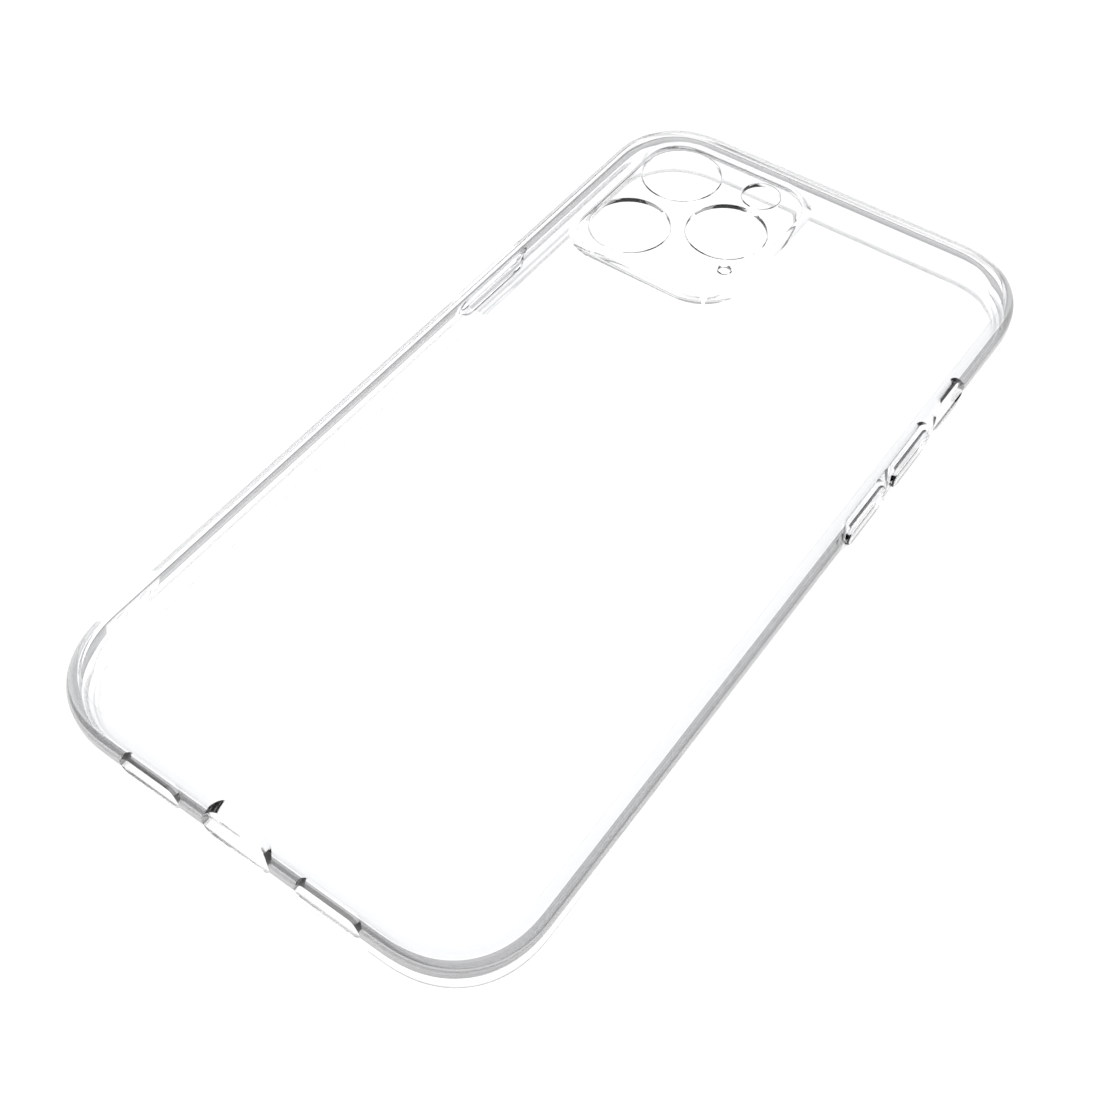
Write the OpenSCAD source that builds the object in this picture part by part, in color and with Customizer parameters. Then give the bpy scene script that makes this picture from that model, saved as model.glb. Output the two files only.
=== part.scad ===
// Clear protective case for a large phone with rounded sides.
//
// The case lies open side down. The origin is the centre of the rim, on the
// plane that the rim rests on. +Z points to the back of the phone, +Y to its
// camera end and -Y to its charging port. All sizes are in millimetres.

/* [Phone] */
// Length of the phone that the case holds
phone_length = 158; // [130:0.5:190]
// Width of that phone
phone_width = 77.8; // [64:0.2:94]
// Thickness of that phone, whose sides are half round
phone_thickness = 8.1; // [6.7:0.1:10]
// Radius of the phone's corners, seen from the back
phone_corner_r = 13; // [10:0.5:16]
// Gap left between the phone and the case
phone_clearance = 0.1; // [0.05:0.05:0.3]

/* [Bumper frame] */
// Wall thickness along the two long sides
side_wall = 1.0; // [0.9:0.1:2]
// Wall thickness along the two short ends
end_wall = 1.5; // [0.9:0.1:2.5]
// Radius of the shoulder between the wall and the back
shoulder_r = 4.75; // [4:0.05:5.5]
// Height that the rim stands in front of the phone's glass
rim_height = 1.1; // [0.8:0.1:2]
// Distance that the rim reaches in from the outer face
rim_reach = 2.6; // [2:0.1:3.4]
// Radius of the curve that tucks the wall in towards the rim
tuck_r = 2.2; // [1.9:0.1:2.6]
// Height at which that curve starts
tuck_height = 1.85; // [1.2:0.05:1.9]

/* [Back panel] */
// Thickness of the back panel
panel_thickness = 1.1; // [0.8:0.1:1.8]
// Depth of the panel's edge below its underside
panel_skirt = 0.8; // [0.5:0.1:1.2]

/* [Camera guard] */
// Radius of the raised guard's corners
guard_corner_r = 8.5; // [7:0.5:11]
// Distance from the case's side to the guard
guard_side_margin = 6.3; // [5.4:0.1:8]
// Distance from the case's camera end to the guard
guard_end_margin = 6.6; // [5.4:0.1:8]
// Height that the guard stands above the back panel
guard_rise = 0.9; // [0.6:0.1:1.5]
// Radius of the guard's upper edge
guard_edge_r = 0.8; // [0.3:0.1:1]
// Thickness of the guard's top
guard_top = 1.0; // [0.8:0.1:1.4]
// Thickness of the guard's own wall
guard_wall = 1.0; // [0.8:0.1:1.4]
// Radius of each lens hole
lens_r = 7.1; // [6:0.1:8.6]
// Width of the bridge between two neighbouring lens holes
lens_bridge = 2.7; // [1.5:0.1:4]
// Width of the guard's top beside the lens holes
guard_side_land = 2.8; // [2:0.1:4]
// Width of the guard's top above and below the lens holes
guard_end_land = 3.25; // [2.5:0.05:5]
// Radius of the flash hole
flash_r = 3.4; // [2.5:0.1:4]
// Width of the bridge between the flash hole and the third lens hole
flash_bridge = 1.3; // [0.8:0.1:2]
// Radius of the microphone hole
mic_r = 1.1; // [0.6:0.1:1.5]
// Width of the bridge between the microphone hole and the third lens hole
mic_bridge = 1.7; // [0.8:0.1:2.5]
// Angle at which the microphone hole lies below the third lens hole
mic_angle = 60; // [40:1:80]

/* [Button covers] */
// Height of each cover's pad
pad_height = 3.4; // [2.6:0.1:3.8]
// Height that a pad stands out from the wall
pad_rise = 0.5; // [0.3:0.1:0.9]
// Radius of a pad's outer edge
pad_edge_r = 0.35; // [0.1:0.05:0.5]
// Length of the power pad
power_length = 17.4; // [14:0.2:20]
// Distance from the camera end to the middle of the power pad
power_from_end = 54.4; // [50:0.2:60]
// Length of each volume pad
volume_length = 12.4; // [10:0.2:15]
// Gap between the flanges of the two volume covers
flange_split = 0.4; // [0.3:0.1:3]
// Distance from the camera end to the middle between the volume pads
volume_from_end = 56; // [55:0.2:62]
// Distance that the flange reaches past its pad at each end
flange_end_reach = 0.8; // [0.6:0.1:1.5]
// Distance that the flange reaches past its pad above and below
flange_side_reach = 0.9; // [0.6:0.1:1]
// Depth of the pocket behind a pad
pocket_depth = 0.5; // [0.4:0.05:0.6]
// Gap round a pad and round its flange
cover_gap = 0.2; // [0.15:0.05:0.3]
// Gap between a flange and the floor of its pocket
flange_gap = 0.1; // [0.05:0.05:0.2]
// Depth of the socket that takes the phone's own button
socket_depth = 0.35; // [0.2:0.05:0.5]
// Height of that socket
socket_height = 2.6; // [2:0.1:2.6]
// Wall left round that socket at each end
socket_end_wall = 1.2; // [0.8:0.1:2]

/* [Openings] */
// Length of the mute switch opening
mute_length = 10.7; // [9:0.1:12]
// Height of the mute switch opening
mute_height = 5.8; // [5:0.1:6]
// Width of the bridge between the mute switch opening and the volume covers
mute_bridge = 1.25; // [0.8:0.05:3]
// Width of the charging port opening
port_width = 12; // [9:0.2:12.6]
// Height of the charging port opening
port_height = 6.4; // [5:0.1:6.6]
// Height of the port opening's middle above the phone's middle
port_lift = 0.35; // [0:0.05:0.4]
// Length of each speaker slot
speaker_length = 11.1; // [8:0.1:13]
// Height of each speaker slot
speaker_height = 3.9; // [3:0.1:4]
// Width of the bridge between the port opening and a speaker slot
port_bridge = 4.2; // [3:0.1:5]

/* [Lanyard anchor] */
// Distance from the port end to the middle of the anchor
lanyard_from_end = 19.6; // [18:0.2:40]
// Height of the recess that the strap lies in
lanyard_height = 6; // [5:0.1:6.2]
// Depth of that recess
lanyard_depth = 0.45; // [0.2:0.05:0.5]
// Length of the recess past each strap hole
lanyard_end = 1.95; // [0.5:0.05:3]
// Width of the bar between the two strap holes
strap_bar = 2.3; // [1.6:0.1:4]
// Width of a strap hole
strap_hole_width = 2.4; // [1.6:0.1:2.8]
// Height of a strap hole
strap_hole_height = 3.2; // [2.8:0.1:3.8]

/* [Hidden] */
$fn = 72;

hard_clear = [0.90, 0.93, 0.95, 0.55];
soft_clear = [0.82, 0.86, 0.89, 0.65];
button_clear = [0.72, 0.77, 0.82, 0.8];

case_width = phone_width + 2 * (phone_clearance + side_wall);
case_length = phone_length + 2 * (phone_clearance + end_wall);
corner_r = phone_corner_r + phone_clearance + side_wall;
cavity_width = phone_width + 2 * phone_clearance;
cavity_length = phone_length + 2 * phone_clearance;
cavity_height = phone_thickness + phone_clearance;
cavity_corner_r = phone_corner_r + phone_clearance;
cavity_side_r = cavity_height / 2;
mid_height = rim_height + cavity_side_r;
underside = rim_height + cavity_height;
case_height = underside + panel_thickness;
seam_height = underside - panel_skirt;

// Line about which the cavity's long sides are rounded
side_axis_x = cavity_width / 2 - cavity_side_r;

// The three lens holes stand at the corners of an even triangle, whose
// height is rounded to this step
lens_step = 0.02;
lens_pitch = 2 * lens_r + lens_bridge;
lens_offset = round(lens_pitch * sin(60) / lens_step) * lens_step;
flash_pitch = lens_r + flash_bridge + flash_r;
mic_pitch = lens_r + mic_bridge + mic_r;
guard_width = lens_offset + 2 * (lens_r + guard_side_land);
guard_length = lens_pitch + 2 * (lens_r + guard_end_land);
guard_height = case_height + guard_rise;
guard_x = -case_width / 2 + guard_side_margin + guard_width / 2;
guard_y = case_length / 2 - guard_end_margin - guard_length / 2;
outer_lens_x = guard_x - lens_offset / 2;
inner_lens_x = guard_x + lens_offset / 2;

power_y = case_length / 2 - power_from_end;
volume_y = case_length / 2 - volume_from_end;
volume_pitch = volume_length + 2 * flange_end_reach + flange_split;
volume_flanges = 2 * (volume_length + 2 * flange_end_reach) + flange_split;
mute_y = volume_y + volume_flanges / 2 + cover_gap + mute_bridge + mute_length / 2;
lanyard_y = -case_length / 2 + lanyard_from_end;
strap_pitch = strap_hole_width + strap_bar;
lanyard_length = strap_pitch + strap_hole_width + 2 * lanyard_end;
speaker_x = port_width / 2 + port_bridge + speaker_length / 2;

flange_height = pad_height + 2 * flange_side_reach;
pocket_r = cavity_side_r + pocket_depth;
flange_r = pocket_r - flange_gap;
cut = 20;

// Outline with rounded corners, centred
module rounded_rectangle(width, length, r) {
    square([width - 2 * r, length], center = true);
    square([width, length - 2 * r], center = true);
    for (x = [-1, 1], y = [-1, 1])
        translate([x * (width / 2 - r), y * (length / 2 - r)])
            circle(r);
}

// Long outline with half round ends, centred, its length along x
module slot_outline(length, height) {
    square([length - height, height], center = true);
    for (end = [-1, 1])
        translate([end * (length - height) / 2, 0])
            circle(d = height);
}

// Block with rounded corners in plan. Its edge follows the child outline,
// which runs from the corner's axis at x = 0 out to x = r.
module swept_block(width, length, r, low, high) {
    half_x = width / 2 - r;
    half_y = length / 2 - r;
    for (quarter = [0 : 3]) {
        right = quarter == 0 || quarter == 3 ? 1 : -1;
        front = quarter < 2 ? 1 : -1;
        translate([right * half_x, front * half_y, 0])
            rotate(90 * quarter)
                rotate_extrude(angle = 90)
                    children();
    }
    for (side = [0, 180])
        rotate(side)
            translate([half_x, half_y, 0])
                rotate([90, 0, 0])
                    linear_extrude(2 * half_y)
                        children();
    for (end = [90, 270])
        rotate(end)
            translate([half_y, half_x, 0])
                rotate([90, 0, 0])
                    linear_extrude(2 * half_x)
                        children();
    translate([-half_x, -half_y, low])
        cube([2 * half_x, 2 * half_y, high - low]);
}

// Section through the outer edge of the case: tucked rim, wall and shoulder
module case_edge() {
    square([corner_r - tuck_r, tuck_height]);
    square([corner_r - shoulder_r, case_height]);
    translate([0, tuck_height])
        square([corner_r, case_height - shoulder_r - tuck_height]);
    translate([corner_r - shoulder_r, case_height - shoulder_r])
        circle(shoulder_r);
    intersection() {
        translate([corner_r - tuck_r, tuck_height])
            circle(tuck_r);
        square([corner_r, case_height]);
    }
}

// Section through the edge of the phone's space, which is half round
module cavity_edge() {
    translate([0, rim_height])
        square([cavity_corner_r - cavity_side_r, cavity_height]);
    translate([cavity_corner_r - cavity_side_r, mid_height])
        circle(cavity_side_r);
}

// Section through the edge of the camera guard, with its upper edge rounded
module guard_edge() {
    translate([0, underside])
        square([guard_corner_r, guard_height - guard_edge_r - underside]);
    translate([0, underside])
        square([guard_corner_r - guard_edge_r, guard_height - underside]);
    translate([guard_corner_r - guard_edge_r, guard_height - guard_edge_r])
        circle(guard_edge_r);
}

// Outside of the whole case, without the camera guard
module case_block() {
    swept_block(case_width, case_length, corner_r, 0, case_height)
        case_edge();
}

// Space that the phone fills, with the mouth that it goes in through
module phone_space() {
    swept_block(cavity_width, cavity_length, cavity_corner_r, rim_height, underside)
        cavity_edge();
    translate([0, 0, -cut])
        linear_extrude(cut + mid_height)
            rounded_rectangle(case_width - 2 * rim_reach, case_length - 2 * rim_reach,
                              corner_r - rim_reach);
}

// Slot cut along X in the right wall, from one distance out to another
module side_slot(y, z, length, height, from_x, to_x) {
    translate([from_x, y, z])
        rotate([90, 0, 90])
            linear_extrude(to_x - from_x)
                slot_outline(length, height);
}

// Slot cut through the wall at the port end
module end_slot(x, z, length, height) {
    translate([x, -cavity_length / 2 + cavity_side_r, z])
        rotate([90, 0, 0])
            linear_extrude(cut)
                slot_outline(length, height);
}

// Charging port opening, which takes a little of the panel's edge as well
module port_opening() {
    end_slot(0, mid_height + port_lift, port_width, port_height);
}

// Round bar along the axis of the cavity's right side
module side_bar(r, y, length) {
    translate([side_axis_x, y - length / 2, mid_height])
        rotate([-90, 0, 0])
            cylinder(r = r, h = length);
}

// Opening in the right wall for one pad
module pad_opening(y, length) {
    side_slot(y, mid_height, length + 2 * cover_gap, pad_height + 2 * cover_gap,
              side_axis_x, side_axis_x + cut);
}

// Pocket inside the right wall, which holds the flanges of the covers
module flange_pocket(y, length) {
    intersection() {
        side_slot(y, mid_height, length + 2 * cover_gap, flange_height + 2 * cover_gap,
                  side_axis_x, side_axis_x + cut);
        side_bar(pocket_r, y, length + cut);
    }
}

// Pad with a rounded outer edge, standing along X in the right wall
module pad(y, length) {
    r = pad_height / 2;
    inner_x = side_axis_x;
    outer_x = case_width / 2 + pad_rise;
    half = length / 2 - r;
    translate([inner_x, y, mid_height])
        rotate([90, 0, 90]) {
            for (end = [0, 180])
                rotate(end)
                    translate([half, 0, 0])
                        rotate(-90)
                            rotate_extrude(angle = 180)
                                pad_edge(r, outer_x - inner_x);
            for (end = [0, 180])
                rotate(end)
                    translate([-half, 0, 0])
                        rotate([90, 0, 90])
                            linear_extrude(2 * half)
                                pad_edge(r, outer_x - inner_x);
        }
}

// Section through half a pad, whose outer corner is rounded
module pad_edge(r, depth) {
    square([r, depth - pad_edge_r]);
    square([r - pad_edge_r, depth]);
    translate([r - pad_edge_r, depth - pad_edge_r])
        circle(pad_edge_r);
}

// Button cover for the right wall: a flange that follows the phone's round
// side, a pad that stands out through the wall, and a socket for the button
module button_cover(y, length) {
    difference() {
        union() {
            intersection() {
                side_slot(y, mid_height, length + 2 * flange_end_reach, flange_height,
                          side_axis_x, side_axis_x + cut);
                side_bar(flange_r, y, length + cut);
            }
            pad(y, length);
        }
        side_bar(cavity_side_r, y, length + cut);
        side_slot(y, mid_height, length - 2 * socket_end_wall, socket_height,
                  side_axis_x, cavity_width / 2 + socket_depth);
    }
}

// Recess and two strap holes of the lanyard anchor, for the right wall
module lanyard_cuts() {
    side_slot(lanyard_y, mid_height, lanyard_length, lanyard_height,
              case_width / 2 - lanyard_depth, case_width / 2 + cut);
    for (hole = [-1, 1])
        translate([side_axis_x, lanyard_y + hole * strap_pitch / 2, mid_height])
            rotate([0, 90, 0])
                linear_extrude(cut)
                    slot_outline(strap_hole_height, strap_hole_width);
}

// Hard clear back, whose edge is the upper part of the shoulder
module back_panel() {
    color(hard_clear)
        difference() {
            case_block();
            translate([-case_width, -case_length, -cut])
                cube([2 * case_width, 2 * case_length, cut + seam_height]);
            phone_space();
            translate([guard_x, guard_y, underside - cut])
                linear_extrude(2 * cut)
                    rounded_rectangle(guard_width, guard_length, guard_corner_r);
            port_opening();
        }
}

// Soft clear wall round the phone, with the rim, the openings and the pockets
module bumper_frame() {
    color(soft_clear)
        difference() {
            case_block();
            translate([-case_width, -case_length, seam_height])
                cube([2 * case_width, 2 * case_length, cut]);
            phone_space();
            port_opening();
            for (side = [-1, 1])
                end_slot(side * speaker_x, mid_height, speaker_length, speaker_height);
            side_slot(mute_y, mid_height, mute_length, mute_height,
                      side_axis_x, side_axis_x + cut);
            for (step = [-1, 1])
                pad_opening(volume_y + step * volume_pitch / 2, volume_length);
            flange_pocket(volume_y, volume_flanges);
            mirror([1, 0, 0]) {
                pad_opening(power_y, power_length);
                flange_pocket(power_y, power_length + 2 * flange_end_reach);
                lanyard_cuts();
            }
        }
}

// Raised clear guard over the phone's camera plate, with its holes
module camera_guard() {
    color(hard_clear)
        difference() {
            translate([guard_x, guard_y, 0])
                swept_block(guard_width, guard_length, guard_corner_r, underside, guard_height)
                    guard_edge();
            translate([guard_x, guard_y, guard_height - guard_top - cut])
                linear_extrude(cut)
                    rounded_rectangle(guard_width - 2 * guard_wall, guard_length - 2 * guard_wall,
                                      guard_corner_r - guard_wall);
            for (row = [-1, 1])
                camera_hole(outer_lens_x, guard_y + row * lens_pitch / 2, lens_r);
            camera_hole(inner_lens_x, guard_y, lens_r);
            camera_hole(inner_lens_x, guard_y + flash_pitch, flash_r);
            camera_hole(inner_lens_x + mic_pitch * cos(mic_angle),
                        guard_y - mic_pitch * sin(mic_angle), mic_r);
        }
}

// One round hole through the camera guard
module camera_hole(x, y, r) {
    translate([x, y, 0])
        cylinder(r = r, h = guard_height + cut);
}

// Cover over the power button, in the left wall
module power_button_cover() {
    color(button_clear)
        mirror([1, 0, 0])
            button_cover(power_y, power_length);
}

// Cover over the upper volume button, in the right wall
module volume_up_cover() {
    color(button_clear)
        button_cover(volume_y + volume_pitch / 2, volume_length);
}

// Cover over the lower volume button, in the right wall
module volume_down_cover() {
    color(button_clear)
        button_cover(volume_y - volume_pitch / 2, volume_length);
}

back_panel();
bumper_frame();
camera_guard();
power_button_cover();
volume_up_cover();
volume_down_cover();
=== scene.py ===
import math

import bmesh
import bpy
import numpy as np
from mathutils import Matrix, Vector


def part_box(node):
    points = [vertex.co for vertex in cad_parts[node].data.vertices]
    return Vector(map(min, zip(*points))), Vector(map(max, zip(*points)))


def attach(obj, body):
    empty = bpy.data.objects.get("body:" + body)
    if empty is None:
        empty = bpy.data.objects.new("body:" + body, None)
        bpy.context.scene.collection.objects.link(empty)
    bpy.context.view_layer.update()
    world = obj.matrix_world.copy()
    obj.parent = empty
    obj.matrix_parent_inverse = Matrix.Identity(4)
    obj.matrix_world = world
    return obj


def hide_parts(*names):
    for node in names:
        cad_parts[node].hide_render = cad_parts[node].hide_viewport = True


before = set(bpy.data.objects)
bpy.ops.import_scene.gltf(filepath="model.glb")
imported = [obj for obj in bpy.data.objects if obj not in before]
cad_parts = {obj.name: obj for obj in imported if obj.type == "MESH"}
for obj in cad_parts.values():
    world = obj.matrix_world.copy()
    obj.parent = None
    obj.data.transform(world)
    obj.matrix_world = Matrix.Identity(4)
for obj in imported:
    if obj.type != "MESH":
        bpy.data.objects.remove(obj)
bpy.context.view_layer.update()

MM = 0.001

# ---------------------------------------------------------------- the stage
# A pale table under one large soft lamp, in a room of mid grey walls. The
# case's steep faces mirror those walls, which draws its dark outlines.
ROOM_GREY = 0.40
LAMP_WATTS = 28.5
LAMP_SIZE = 2.0
LAMP_HEIGHT = 1.2
TABLE_SIZE = 6.0
MOTTLE_SCALE = 60.0
BOARD_TONES = ((0.86, 0.86, 0.86), (0.89, 0.89, 0.89))

CAMERA_AZIMUTH = 35.76
CAMERA_ELEVATION = 51.92
CAMERA_ROLL = 0.11
CAMERA_DISTANCE = 244.7 * MM
CAMERA_AIM = (-5.88 * MM, -9.36 * MM)
CAMERA_LENS = 49.97


def new_piece(name, points, faces):
    """A mesh object from an array of points and a list of faces."""
    mesh = bpy.data.meshes.new(name)
    mesh.from_pydata(np.asarray(points, float).tolist(), [], faces)
    mesh.validate()
    piece = bpy.data.objects.new(name, mesh)
    bpy.context.scene.collection.objects.link(piece)
    return piece


def new_material(name):
    """An empty node material, its node tree and its output."""
    material = bpy.data.materials.new(name)
    material.use_nodes = True
    tree = material.node_tree
    tree.nodes.clear()
    output = tree.nodes.new("ShaderNodeOutputMaterial")
    return material, tree, output


def table_material():
    """Matt white board with a very faint mottle."""
    material, tree, output = new_material("white_board")
    shader = tree.nodes.new("ShaderNodeBsdfDiffuse")
    place = tree.nodes.new("ShaderNodeTexCoord")
    mottle = tree.nodes.new("ShaderNodeTexNoise")
    mottle.inputs["Scale"].default_value = MOTTLE_SCALE
    ramp = tree.nodes.new("ShaderNodeValToRGB")
    for stop, tone in zip(ramp.color_ramp.elements, BOARD_TONES):
        stop.color = (*tone, 1)
    tree.links.new(place.outputs["Object"], mottle.inputs["Vector"])
    tree.links.new(mottle.outputs["Fac"], ramp.inputs["Fac"])
    tree.links.new(ramp.outputs["Color"], shader.inputs["Color"])
    tree.links.new(shader.outputs["BSDF"], output.inputs["Surface"])
    return material


half_table = TABLE_SIZE / 2
table = new_piece("table", [(-half_table, -half_table, 0), (half_table, -half_table, 0),
                             (half_table, half_table, 0), (-half_table, half_table, 0)], [(0, 1, 2, 3)])
table.data.materials.append(table_material())

world = bpy.data.worlds.new("room")
world.use_nodes = True
world.node_tree.nodes["Background"].inputs["Color"].default_value = (*[ROOM_GREY] * 3, 1)
bpy.context.scene.world = world
bpy.context.scene.view_settings.view_transform = "Standard"

lamp = bpy.data.lights.new("soft_lamp", "AREA")
lamp.shape = "SQUARE"
lamp.size = LAMP_SIZE
lamp.energy = LAMP_WATTS
lamp_object = bpy.data.objects.new("soft_lamp", lamp)
lamp_object.location = (0, 0, LAMP_HEIGHT)
bpy.context.scene.collection.objects.link(lamp_object)

azimuth, elevation, roll = (math.radians(a) for a in (CAMERA_AZIMUTH, CAMERA_ELEVATION, CAMERA_ROLL))
back = np.array([math.sin(azimuth) * math.cos(elevation), -math.cos(azimuth) * math.cos(elevation),
                 math.sin(elevation)])
level = np.array([math.cos(azimuth), math.sin(azimuth), 0.0])
upward = np.cross(back, level)
right = level * math.cos(roll) + upward * math.sin(roll)
up = upward * math.cos(roll) - level * math.sin(roll)
place = back * CAMERA_DISTANCE + right * CAMERA_AIM[0] + up * CAMERA_AIM[1]
camera = bpy.data.cameras.new("camera")
camera.lens = CAMERA_LENS
camera.sensor_width = 36.0
camera.clip_start = 0.005
camera_object = bpy.data.objects.new("camera", camera)
camera_object.matrix_world = Matrix(((right[0], up[0], back[0], place[0]),
                                     (right[1], up[1], back[1], place[1]),
                                     (right[2], up[2], back[2], place[2]),
                                     (0, 0, 0, 1)))
bpy.context.scene.collection.objects.link(camera_object)
bpy.context.scene.camera = camera_object


# ------------------------------------------- hard back with camera guard
# A hard clear plate whose edge curves down as the upper part of the shoulder.
# The raised guard is bonded to it without a visible joint, so both are one
# piece here, with a recess under the guard and five holes through it.
bumper_box, panel_box, guard_box = (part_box(n) for n in ("bumper_frame", "back_panel", "camera_guard"))
HALF_WIDTH = bumper_box[1].x
HALF_LENGTH = bumper_box[1].y
SEAM = bumper_box[1].z
BACK = panel_box[1].z
GUARD_TOP = guard_box[1].z
SEAM_OVERLAP = 0.005 * MM
CORNER = 15.6 * MM
CORNER_POWER = 2.276
SIDE_WALL = 1.0 * MM
END_WALL = 1.5 * MM
SHOULDER = 4.75 * MM
RIM = 1.1 * MM
HOLLOW = 4.1 * MM
MIDDLE = RIM + HOLLOW
UNDERSIDE = RIM + 2 * HOLLOW
END_AXIS = HALF_LENGTH - END_WALL - HOLLOW
FLAT_MARGIN = 0.5 * MM
GUARD_CORNER = 8.5 * MM
GUARD_SLOPE = 34
GUARD_ROOT = 9.8 * MM
GUARD_SKIN = 1.0 * MM
GUARD_WALL = 1.7 * MM
RECESS_EDGE = 0.03 * MM
LENS = 7.1 * MM
LENS_PITCH = 16.9 * MM
LENS_OFFSET = 14.64 * MM
FLASH = 3.4 * MM
FLASH_PITCH = 11.8 * MM
MIC = 1.1 * MM
MIC_PITCH = 9.9 * MM
MIC_ANGLE = 60
HOLE_EDGE = 0.2 * MM
HOLE_FOOT = 0.35 * MM
HARD_IOR = 1.5
SAME_POINT = 0.0005 * MM
SHARP_ANGLE = math.radians(28)
FLOW_SCALE = 45.0
FLOW_DEPTH = 0.985
HAZE_SCALE = 900.0
HAZE_SPAN = (0.45, 0.8)
HAZE_ROUGHNESS = 0.012
PORT = (12 * MM, 6.4 * MM)
PORT_LIFT = 0.35 * MM
OUT = 4 * MM


def outline(half_x, half_y, corner, power, turns=30, runs=(24, 65)):
    """Closed outline with blunt corners, as points and outward normals, anticlockwise.

    A corner is a quarter of the curve |x|^p + |y|^p = corner^p, taken at even steps of its normal's angle a:
    x = corner cos(a)^(1/(p-1)) / (cos(a)^q + sin(a)^q)^(1/p), and y the same with sin, where q = p/(p-1).
    """
    angle = np.linspace(0, math.pi / 2, turns + 1)
    cosine, sine = np.cos(angle).clip(0), np.sin(angle).clip(0)
    q = power / (power - 1)
    size = (cosine ** q + sine ** q) ** (1 / power)
    quarter = corner * np.stack([cosine, sine], 1) ** (1 / (power - 1)) / size[:, None]
    middle = np.array([half_x - corner, half_y - corner])
    points, normals = [], []
    for k in range(4):
        c, s = round(math.cos(k * math.pi / 2)), round(math.sin(k * math.pi / 2))
        turn = np.array([[c, s], [-s, c]])
        reach = middle if k % 2 == 0 else middle[::-1]
        points.append((quarter + reach) @ turn)
        normals.append(np.stack([cosine, sine], 1) @ turn)
    line, across = [], []
    for k in range(4):
        start, end = points[k][-1], points[(k + 1) % 4][0]
        t = np.linspace(0, 1, runs[k % 2] + 1)[1:-1, None]
        line += [points[k], start * (1 - t) + end * t]
        across += [normals[k], np.repeat(normals[k][-1:], len(t), 0)]
    return np.concatenate(line), np.concatenate(across)


def arc(middle, radius, start, end, steps):
    """Points at even angles, in degrees, on a circle in the section plane: inset first, then height."""
    a = np.radians(np.linspace(start, end, steps + 1))
    return np.stack([middle[0] + radius * np.cos(a), middle[1] + radius * np.sin(a)], 1)


def carried(line, across, insets, heights):
    """A profile carried round a line: each point lies its inset in from the line, at its height."""
    insets = np.broadcast_to(insets, (len(line), np.shape(insets)[-1]))
    heights = np.broadcast_to(heights, insets.shape)
    flat = line[:, None, :] - insets[..., None] * across[:, None, :]
    return np.concatenate([flat, heights[..., None]], -1)


def quads(n, m, closed):
    """Faces of an n by m grid whose rows close on themselves, and whose columns do if closed."""
    i, j = np.meshgrid(np.arange(n), np.arange(m if closed else m - 1), indexing="ij")
    ahead, over = (i + 1) % n, (j + 1) % m
    return np.stack([i * m + j, ahead * m + j, ahead * m + over, i * m + over], -1).reshape(-1, 4)


def closed_piece(name, grid, ring=False):
    """A closed body from a grid of points, its ends shut by flat faces unless it is a ring.

    Its faces are turned if the volume, a sixth of the sum of a . (b x c) over the triangles, is negative.
    """
    n, m = grid.shape[:2]
    points = grid.reshape(-1, 3)
    faces = quads(n, m, ring)
    a, b, c, d = (points[faces[:, k]] for k in range(4))
    middle = points.mean(0)
    volume = sum(((u - middle) * np.cross(v - middle, w - middle)).sum()
                 for u, v, w in ((a, b, c), (a, c, d)))
    faces = faces.tolist()
    if not ring:
        start, end = (points[np.arange(n) * m + k] for k in (0, m - 1))
        for loop, way in ((start, -1), (end, 1)):
            ahead = np.roll(loop, -1, 0)
            volume += way * ((loop - middle) * np.cross(ahead - middle, loop.mean(0) - middle)).sum()
        faces.append([k * m for k in range(n)][::-1])
        faces.append([k * m + m - 1 for k in range(n)])
    if volume < 0:
        faces = [f[::-1] for f in faces]
    return new_piece(name, points, faces)


def carve(piece, tools, operation="DIFFERENCE"):
    """Cuts the tools out of the piece, or joins them to it, and takes the tools away."""
    for tool in tools:
        step = piece.modifiers.new(tool.name, "BOOLEAN")
        step.operation = operation
        step.solver = "EXACT"
        step.object = tool
    graph = bpy.context.evaluated_depsgraph_get()
    mesh = bpy.data.meshes.new_from_object(piece.evaluated_get(graph))
    piece.modifiers.clear()
    piece.data = mesh
    for tool in tools:
        bpy.data.objects.remove(tool)


def merged(piece, slivers=False):
    """Merges doubled points, so that rings of no radius close, and takes out slivers if asked."""
    shape = bmesh.new()
    shape.from_mesh(piece.data)
    bmesh.ops.remove_doubles(shape, verts=shape.verts, dist=SAME_POINT)
    if slivers:
        bmesh.ops.dissolve_degenerate(shape, edges=shape.edges, dist=SAME_POINT)
    shape.to_mesh(piece.data)
    shape.free()
    return piece


def finished(piece, material, body, slot, *nodes):
    """Smooths all but the sharp edges, and puts the piece on its body in place of its nodes."""
    merged(piece, slivers=True)
    piece.data.shade_smooth()
    piece.data.set_sharp_from_angle(angle=SHARP_ANGLE)
    piece.data.materials.clear()
    piece.data.materials.append(material)
    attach(piece, body)
    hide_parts(*nodes)
    return piece


def turned(name, x, y, profile, steps=64):
    """A body of revolution about a vertical line: each row of the profile is a radius and a height."""
    a = np.linspace(0, 2 * math.pi, steps, endpoint=False)[:, None]
    radius, height = profile[:, 0], profile[:, 1]
    grid = np.stack([x + radius * np.cos(a), y + radius * np.sin(a), height + 0 * a], -1)
    return closed_piece(name, grid)


def camera_hole(name, x, y, radius):
    """Cutter for one round hole, flared at the skin's faces so that the hole's edges come out rounded."""
    lower = arc((radius + HOLE_FOOT, GUARD_TOP - GUARD_SKIN + HOLE_FOOT), HOLE_FOOT, 260, 180, 6)
    upper = arc((radius + HOLE_EDGE, GUARD_TOP - HOLE_EDGE), HOLE_EDGE, 180, 100, 5)
    low, high = [lower[0, 0], UNDERSIDE - 2 * MM], [upper[-1, 0], GUARD_TOP + MM]
    return turned(name, x, y, np.concatenate([[low], lower, upper, [high]]))


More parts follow.
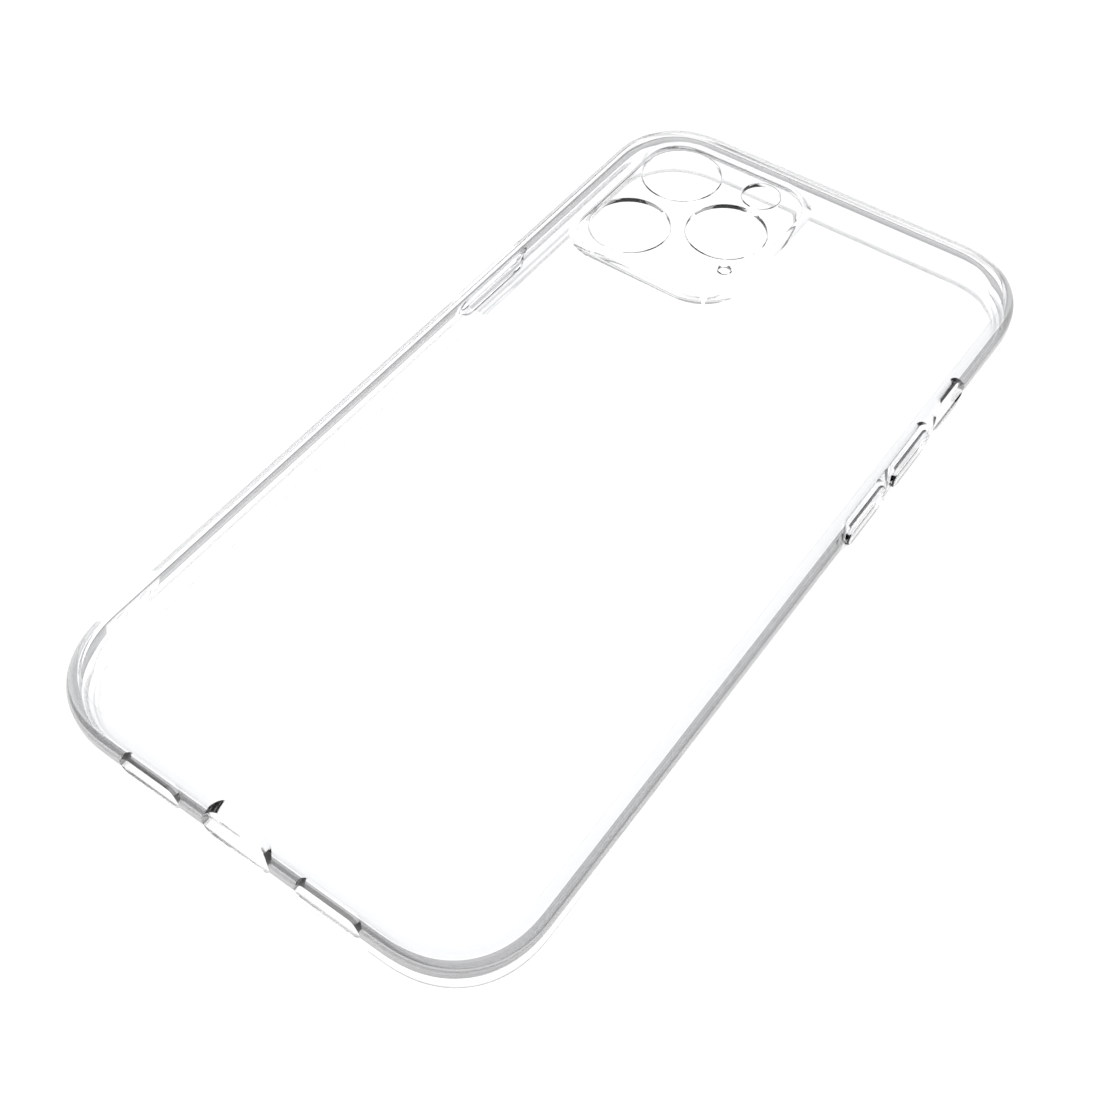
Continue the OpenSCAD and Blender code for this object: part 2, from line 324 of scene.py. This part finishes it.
def clear_plastic(name, ior, tint, shade):
    """Clear moulded plastic. Faint flow clouds tint it, and fine haze sets its roughness.

    Light on its way to or from the table passes straight through, a little shaded.
    """
    material, tree, output = new_material(name)
    shader = tree.nodes.new("ShaderNodeBsdfPrincipled")
    shader.inputs["Transmission Weight"].default_value = 1.0
    shader.inputs["IOR"].default_value = ior
    where = tree.nodes.new("ShaderNodeTexCoord")
    flow = tree.nodes.new("ShaderNodeTexNoise")
    flow.inputs["Scale"].default_value = FLOW_SCALE
    flow.inputs["Detail"].default_value = 3.0
    clouds = tree.nodes.new("ShaderNodeValToRGB")
    clouds.color_ramp.elements[0].color = (*(FLOW_DEPTH * t for t in tint), 1)
    clouds.color_ramp.elements[1].color = (*tint, 1)
    haze = tree.nodes.new("ShaderNodeTexNoise")
    haze.inputs["Scale"].default_value = HAZE_SCALE
    rough = tree.nodes.new("ShaderNodeMapRange")
    rough.inputs["From Min"].default_value = HAZE_SPAN[0]
    rough.inputs["From Max"].default_value = HAZE_SPAN[1]
    rough.inputs["To Max"].default_value = HAZE_ROUGHNESS
    path = tree.nodes.new("ShaderNodeLightPath")
    lets = tree.nodes.new("ShaderNodeBsdfTransparent")
    lets.inputs["Color"].default_value = (shade, shade, shade, 1)
    mix = tree.nodes.new("ShaderNodeMixShader")
    links = tree.links
    links.new(where.outputs["Object"], flow.inputs["Vector"])
    links.new(where.outputs["Object"], haze.inputs["Vector"])
    links.new(flow.outputs["Fac"], clouds.inputs["Fac"])
    links.new(clouds.outputs["Color"], shader.inputs["Base Color"])
    links.new(haze.outputs["Fac"], rough.inputs["Value"])
    links.new(rough.outputs["Result"], shader.inputs["Roughness"])
    passes = tree.nodes.new("ShaderNodeMath")
    passes.operation = "MAXIMUM"
    links.new(path.outputs["Is Shadow Ray"], passes.inputs[0])
    links.new(path.outputs["Is Diffuse Ray"], passes.inputs[1])
    links.new(passes.outputs["Value"], mix.inputs["Fac"])
    links.new(shader.outputs["BSDF"], mix.inputs[1])
    links.new(lets.outputs["BSDF"], mix.inputs[2])
    links.new(mix.outputs["Shader"], output.inputs["Surface"])
    return material, tree, where, clouds, shader


outer_line, facing = outline(HALF_WIDTH, HALF_LENGTH, CORNER, CORNER_POWER)
inner_line, _ = outline(HALF_WIDTH - SIDE_WALL, HALF_LENGTH - END_WALL, CORNER - SIDE_WALL,
                        CORNER_POWER)


def edge_of_back():
    """Section of the back's edge from its underside over the seam to its top, carried round the case.

    Inside, it follows the hollow's round side down to the seam, and outside, the shoulder's arc up from it.
    """
    seam = SEAM - SEAM_OVERLAP
    low = math.degrees(math.asin((seam - MIDDLE) / HOLLOW))
    hollow = np.concatenate([[[HOLLOW + FLAT_MARGIN, UNDERSIDE]],
                             arc((HOLLOW, MIDDLE), HOLLOW, 90, 180 - low, 24)])
    rise = math.degrees(math.asin((seam - BACK + SHOULDER) / SHOULDER))
    shoulder = np.concatenate([arc((SHOULDER, BACK - SHOULDER), SHOULDER, 180 - rise, 90, 30),
                               [[SHOULDER + FLAT_MARGIN, BACK]]])
    return np.concatenate([carried(inner_line, facing, *hollow.T),
                           carried(outer_line, facing, *shoulder.T)], 1)


def guard_block(name, inset, low, foot, high, slope):
    """Block with the guard's outline, drawn in by the inset. From its foot up, its edge is an arc that starts
    at the slope, so its radius is the height over one less the slope's cosine."""
    half_x, half_y = ((guard_box[1][k] - guard_box[0][k]) / 2 - inset for k in (0, 1))
    line, normals = outline(half_x, half_y, GUARD_CORNER - inset, 2, 24, (4, 5))
    line = line + np.array([(guard_box[0][k] + guard_box[1][k]) / 2 for k in (0, 1)])
    radius = (high - foot) / (1 - math.cos(math.radians(slope)))
    reach = radius * math.sin(math.radians(slope))
    top = arc((reach, high - radius), radius, 90 + slope, 90, 12)
    profile = np.concatenate([[[0, low]], top, [[reach + FLAT_MARGIN, high]]])
    return closed_piece(name, carried(line, normals, *profile.T))


def slot_body(name, rows, place, along=(0, 1, 0), deep=(1, 0, 0), up=(0, 0, 1)):
    """A body of rings that are slot outlines. A row is half the straight length, end radius and depth.

    The depth is a number or a function of the height, and runs along deep from the place. A ring of no
    radius closes the body.
    """
    a = np.radians(np.linspace(-90, 90, 25))
    t = np.linspace(-1, 1, 13)[1:-1]
    along_end = np.concatenate([np.ones_like(a), -t, -np.ones_like(a), t])
    cosine = np.concatenate([np.cos(a), 0 * t, -np.cos(a), 0 * t])
    sine = np.concatenate([np.sin(a), 0 * t + 1, np.sin(a[::-1]), 0 * t - 1])
    columns = []
    for half, radius, depth in rows:
        u, v = half * along_end + radius * cosine, radius * sine
        d = depth(v) if callable(depth) else depth + 0 * v
        columns.append(np.asarray(place) + sum(w[:, None] * np.asarray(axis)
                                               for w, axis in ((u, along), (v, up), (d, deep))))
    return merged(closed_piece(name, np.stack(columns, 1)))


def slot_cutter(name, place, length, height, near, far, **ways):
    """Cutter with a slot outline, from one depth to another."""
    half, radius = (length - height) / 2, height / 2
    fill = [radius * k for k in (0, 0.5, 1)]
    rows = [(half, r, near) for r in fill] + [(half, r, far) for r in fill[::-1]]
    return slot_body(name, rows, place, **ways)


def end_cutter(name, x, lift, length, height):
    """Slot cutter through the wall at the port end."""
    return slot_cutter(name, (x, -END_AXIS, MIDDLE + lift), length, height, 0.0, HOLLOW + OUT,
                       along=(1, 0, 0), deep=(0, -1, 0))


guard_x, guard_y = ((guard_box[0][k] + guard_box[1][k]) / 2 for k in (0, 1))
outer_x, inner_x = guard_x - LENS_OFFSET / 2, guard_x + LENS_OFFSET / 2
mic_turn = math.radians(MIC_ANGLE)
hard_clear, *_ = clear_plastic("hard_clear_plastic", HARD_IOR, (0.992, 0.996, 1.0), 0.97)
hard_back = closed_piece("hard_back", edge_of_back())
carve(hard_back, [guard_block("guard_top", 0, GUARD_ROOT, BACK, GUARD_TOP, GUARD_SLOPE)],
      "UNION")
carve(hard_back, [guard_block("recess", GUARD_WALL, UNDERSIDE - MM, GUARD_TOP - GUARD_SKIN - RECESS_EDGE,
                              GUARD_TOP - GUARD_SKIN, 90)])
carve(hard_back, [camera_hole("upper_lens", outer_x, guard_y + LENS_PITCH / 2, LENS),
                  camera_hole("lower_lens", outer_x, guard_y - LENS_PITCH / 2, LENS),
                  camera_hole("inner_lens", inner_x, guard_y, LENS),
                  camera_hole("flash", inner_x, guard_y + FLASH_PITCH, FLASH),
                  camera_hole("microphone", inner_x + MIC_PITCH * math.cos(mic_turn),
                              guard_y - MIC_PITCH * math.sin(mic_turn), MIC)])
carve(hard_back, [end_cutter("port", 0, PORT_LIFT, *PORT)])
finished(hard_back, hard_clear, "case", "hard_clear_plastic", "back_panel", "camera_guard")


# ---------------------------------------------------------- bumper frame
# A ring of soft clear plastic, moulded round the hard back. Its upper outer part is
# painted grey, a painted shade in place of the dark that the shoulder's refraction
# shows from outside, and the lip's bottom carries a painted contact shadow. The wall
# is cut through for the port, speakers and mute switch, and thinned behind the button covers.
TUCK = 2.2 * MM
TUCK_HEIGHT = 1.85 * MM
RIM_REACH = 2.6 * MM
LIP_EDGE = 0.25 * MM
SPEAKER_X = 15.75 * MM
SPEAKER = (11.1 * MM, 3.9 * MM)
MUTE = (45.6 * MM, 10.7 * MM, 5.8 * MM)
VOLUME_Y = 24.6 * MM
VOLUME_PITCH = 14.4 * MM
POWER_Y = 26.2 * MM
POWER_LENGTH = 17.4 * MM
VOLUME_LENGTH = 12.4 * MM
PAD_HEIGHT = 3.4 * MM
FLANGE_END = 0.8 * MM
FLANGE_SIDE = 0.9 * MM
FLANGE_SPLIT = 0.4 * MM
COVER_GAP = 0.2 * MM
POCKET_DEPTH = 0.5 * MM
LANYARD_Y = -61.0 * MM
LANYARD = (11.0 * MM, 6.0 * MM)
LANYARD_DEPTH = 0.45 * MM
STRAP_HOLE = (3.2 * MM, 2.4 * MM)
STRAP_PITCH = 4.7 * MM
SIDE_AXIS = HALF_WIDTH - SIDE_WALL - HOLLOW


def bumper_section():
    """Section of the ring: lip, tucked rim, wall and shoulder outside, and the hollow's round side inside.

    The hollow ends where it meets the mouth, at the angle whose cosine is 1 - mouth depth / radius.
    """
    seam = SEAM + SEAM_OVERLAP
    lip = arc((RIM_REACH - LIP_EDGE, LIP_EDGE), LIP_EDGE, 0, -90, 6)
    tuck = arc((TUCK, TUCK_HEIGHT), TUCK, 180 + math.degrees(math.asin(TUCK_HEIGHT / TUCK)), 180, 14)
    rise = math.degrees(math.asin((seam - BACK + SHOULDER) / SHOULDER))
    shoulder = arc((SHOULDER, BACK - SHOULDER), SHOULDER, 180, 180 - rise, 20)
    outside = np.concatenate([lip, tuck, shoulder])
    mouth = ((inner_line - outer_line + RIM_REACH * facing) * facing).sum(1)
    high = math.asin((seam - MIDDLE) / HOLLOW)
    low = -np.arccos(1 - mouth / HOLLOW)
    angle = high + (low[:, None] - high) * np.linspace(0, 1, 44)
    inside = carried(inner_line, facing, HOLLOW * (1 - np.cos(angle)), MIDDLE + HOLLOW * np.sin(angle))
    return np.concatenate([carried(outer_line, facing, *outside.T), inside], 1)


def round_side(radius):
    """Depth of a round bar of that radius at a height, from its axis: the root of r^2 - v^2."""
    return lambda v: np.sqrt(np.maximum(radius ** 2 - v ** 2, 0))


def side_cutter(name, side, y, length, height, near=0.0, far=HOLLOW + OUT):
    """Slot cutter in the right wall (side 1) or the left wall (side -1)."""
    return slot_cutter(name, (side * SIDE_AXIS, y, MIDDLE), length, height, near, far, deep=(side, 0, 0))


pocket = round_side(HOLLOW + POCKET_DEPTH)
flange_height = PAD_HEIGHT + 2 * (FLANGE_SIDE + COVER_GAP)
volume_pocket = 2 * (VOLUME_LENGTH + 2 * FLANGE_END) + FLANGE_SPLIT + 2 * COVER_GAP
power_pocket = POWER_LENGTH + 2 * (FLANGE_END + COVER_GAP)
pads = [(1, VOLUME_Y + VOLUME_PITCH / 2, VOLUME_LENGTH), (1, VOLUME_Y - VOLUME_PITCH / 2, VOLUME_LENGTH),
        (-1, POWER_Y, POWER_LENGTH)]
bumper = closed_piece("soft_bumper", bumper_section(), ring=True)
carve(bumper, [side_cutter("volume_pocket", 1, VOLUME_Y, volume_pocket, flange_height, far=pocket),
               side_cutter("power_pocket", -1, POWER_Y, power_pocket, flange_height, far=pocket),
               side_cutter("mute", 1, *MUTE),
               side_cutter("lanyard", -1, LANYARD_Y, *LANYARD, near=HOLLOW + SIDE_WALL - LANYARD_DEPTH)]
      + [end_cutter(f"speaker_{k}", k * SPEAKER_X, 0, *SPEAKER) for k in (-1, 1)]
      + [end_cutter("port", 0, PORT_LIFT, *PORT)])
carve(bumper, [side_cutter(f"pad_{k}", side, y, long + 2 * COVER_GAP, PAD_HEIGHT + 2 * COVER_GAP)
               for k, (side, y, long) in enumerate(pads)]
      + [slot_cutter(f"strap_{k}", (-SIDE_AXIS, LANYARD_Y + k * STRAP_PITCH / 2, MIDDLE), *STRAP_HOLE, 0.0,
                     HOLLOW + OUT, along=(0, 0, 1), up=(0, 1, 0), deep=(-1, 0, 0)) for k in (-1, 1)])

SOFT_IOR = 1.5
soft_clear, tree, where, clouds, shader = clear_plastic("soft_clear_plastic", SOFT_IOR,
                                                        (0.985, 0.99, 0.995), 0.96)
# Painted shade: the band colours paint the wall's upper outer surface grey, in place of the dark that the
# shoulder's refraction shows, and darker in the band's lower part.
SHADE_BAND_LOW = 4.6 * MM
SHADE_BAND_HIGH = 8.3 * MM
SHADE_BAND_EVEN = 6.1 * MM
SHADE_BAND_DARKEST = (0.095, 0.097, 0.1)
SHADE_BAND_GREY = (0.225, 0.228, 0.23)
# Painted contact shadow: the lip's bottom, up to the given height, is greyed where the case meets the table.
CONTACT_SHADOW_TINT = (0.65, 0.655, 0.66)
CONTACT_SHADOW_TOP = 0.25 * MM
SHADE_BAND_SOFT = 0.06 * MM
END_SOFT = 0.3 * MM
VOLUME_BREAK = (10.8 * MM, 49.5 * MM, (0.5, -0.9))
POWER_BREAK = (15.9 * MM, 33.6 * MM, (0, 0))
LANYARD_BREAK = (-66.5 * MM, -55.5 * MM, (0, 0))
BAND_MIDDLE = 6.4 * MM
CORE = (25.9 * MM, 66.3 * MM)
CORE_REACH = 13.13 * MM


def node_math(tree, operation, *values):
    """The result of a math node on sockets or numbers."""
    node = tree.nodes.new("ShaderNodeMath")
    node.operation = operation
    for socket, value in zip(node.inputs, values):
        if isinstance(value, (int, float)):
            socket.default_value = value
        else:
            tree.links.new(value, socket)
    return node.outputs[0]


def step_up(tree, value, edge, soft):
    """0 below the edge and 1 above it, with a soft step: (value - edge) / soft + 1/2, kept from 0 to 1."""
    node = tree.nodes.new("ShaderNodeMapRange")
    tree.links.new(value, node.inputs["Value"])
    node.inputs["From Min"].default_value = edge - soft / 2
    node.inputs["From Max"].default_value = edge + soft / 2
    return node.outputs["Result"]


split = tree.nodes.new("ShaderNodeSeparateXYZ")
tree.links.new(where.outputs["Object"], split.inputs["Vector"])
x, y, z = split.outputs
past_x, past_y = (node_math(tree, "MAXIMUM",
                            node_math(tree, "SUBTRACT", node_math(tree, "ABSOLUTE", v), core), 0.0)
                  for v, core in ((x, CORE[0]), (y, CORE[1])))
reach = node_math(tree, "SQRT", node_math(tree, "ADD", node_math(tree, "MULTIPLY", past_x, past_x),
                                          node_math(tree, "MULTIPLY", past_y, past_y)))
outside = step_up(tree, reach, CORE_REACH, 0.02 * MM)


def shade_band_break(side, start, end, slants):
    """1 inside a break of the painted shade band, between two slanted ends on the right (1) or left (-1)
    side.
    """
    low = node_math(tree, "MULTIPLY_ADD", z, slants[0], start - slants[0] * BAND_MIDDLE)
    high = node_math(tree, "MULTIPLY_ADD", z, slants[1], end - slants[1] * BAND_MIDDLE)
    within = node_math(tree, "MULTIPLY",
                       step_up(tree, node_math(tree, "SUBTRACT", y, low), 0.0, END_SOFT),
                       step_up(tree, node_math(tree, "SUBTRACT", high, y), 0.0, END_SOFT))
    return node_math(tree, "MULTIPLY", within,
                     step_up(tree, node_math(tree, "MULTIPLY", x, float(side)), 0.0, MM))


# Mask of the painted shade band: between its two heights, on the outer surface only, less the breaks.
height = node_math(tree, "SUBTRACT", step_up(tree, z, SHADE_BAND_LOW, SHADE_BAND_SOFT),
                   step_up(tree, z, SHADE_BAND_HIGH, SHADE_BAND_SOFT))
shade_band = node_math(tree, "MULTIPLY", height, outside)
for side, ends in ((1, VOLUME_BREAK), (-1, POWER_BREAK), (-1, LANYARD_BREAK)):
    shade_band = node_math(tree, "MULTIPLY", shade_band, node_math(tree, "SUBTRACT", 1.0, shade_band_break(side, *ends)))
# Painted shade: the band's grey is mixed over the plastic's own colour.
tint = tree.nodes.new("ShaderNodeMix")
tint.data_type = "RGBA"
tree.links.new(shade_band, tint.inputs[0])
tree.links.new(clouds.outputs["Color"], tint.inputs[6])
# Painted shade: the band's grey darkens towards its lower edge.
depth = tree.nodes.new("ShaderNodeMix")
depth.data_type = "RGBA"
tree.links.new(step_up(tree, z, (SHADE_BAND_LOW + SHADE_BAND_EVEN) / 2, SHADE_BAND_EVEN - SHADE_BAND_LOW),
               depth.inputs[0])
depth.inputs[6].default_value = (*SHADE_BAND_DARKEST, 1)
depth.inputs[7].default_value = (*SHADE_BAND_GREY, 1)
tree.links.new(depth.outputs[2], tint.inputs[7])
# Painted contact shadow: darkens the bumper's lowest strip, where it stands on the table.
foot = tree.nodes.new("ShaderNodeMix")
foot.data_type = "RGBA"
tree.links.new(step_up(tree, z, CONTACT_SHADOW_TOP, 0.1 * MM), foot.inputs[0])
foot.inputs[6].default_value = (*CONTACT_SHADOW_TINT, 1)
tree.links.new(tint.outputs[2], foot.inputs[7])
tree.links.new(foot.outputs[2], shader.inputs["Base Color"])
finished(bumper, soft_clear, "case", "soft_clear_plastic", "bumper_frame")


# ---------------------------------------------------------- button covers
# Three clear inserts. Each has a flange that lies in the pocket inside the
# wall, a pad that stands out through it, and a socket for the phone's button.
PAD_RISE = 0.5 * MM
PAD_EDGE = 0.35 * MM
FLANGE_FLOOR = 0.1 * MM
SOCKET_INSET = 1.2 * MM
SOCKET_HEIGHT = 2.6 * MM
SOCKET_DEPTH = 0.35 * MM
BUTTON_IOR = 1.5


def button_cover(name, side, y, length):
    """Rings of slot outlines from the socket's floor, over the flange, to the pad's rounded top."""
    socket_half, socket_r = length / 2 - SOCKET_INSET - SOCKET_HEIGHT / 2, SOCKET_HEIGHT / 2
    pad_half, pad_r = (length - PAD_HEIGHT) / 2, PAD_HEIGHT / 2
    flange_r = pad_r + FLANGE_SIDE
    flange_half = length / 2 + FLANGE_END - flange_r
    inner, outer = round_side(HOLLOW), round_side(HOLLOW + POCKET_DEPTH - FLANGE_FLOOR)
    floor = HOLLOW + SOCKET_DEPTH
    top = HOLLOW + SIDE_WALL + PAD_RISE
    rows = [(socket_half, r, floor) for r in np.linspace(0, socket_r, 4)]
    rows += [(socket_half + (flange_half - socket_half) * t,
              socket_r + (flange_r - socket_r) * t, inner) for t in np.linspace(0, 1, 7)]
    rows += [(flange_half + (pad_half - flange_half) * t,
              flange_r + (pad_r - flange_r) * t, outer) for t in np.linspace(0, 1, 7)]
    rows += [(pad_half, pad_r - inset, top - PAD_EDGE + rise)
             for inset, rise in PAD_EDGE * (np.array([1, 0]) + arc((0, 0), 1, 180, 90, 8))]
    rows += [(pad_half, r, top) for r in (0.6 * pad_r, 0.3 * pad_r, 0)]
    return slot_body(name, rows, (side * SIDE_AXIS, y, MIDDLE), deep=(side, 0, 0))


button_clear, *_ = clear_plastic("button_clear_plastic", BUTTON_IOR, (0.97, 0.975, 0.98), 0.95)
for (side, y, length), node, body in zip(pads,
                                         ("volume_up_cover", "volume_down_cover", "power_button_cover"),
                                         ("volume_up", "volume_down", "power_cover")):
    cover = button_cover(node + "_clear", side, y, length)
    finished(cover, button_clear, body, "button_clear_plastic", node)
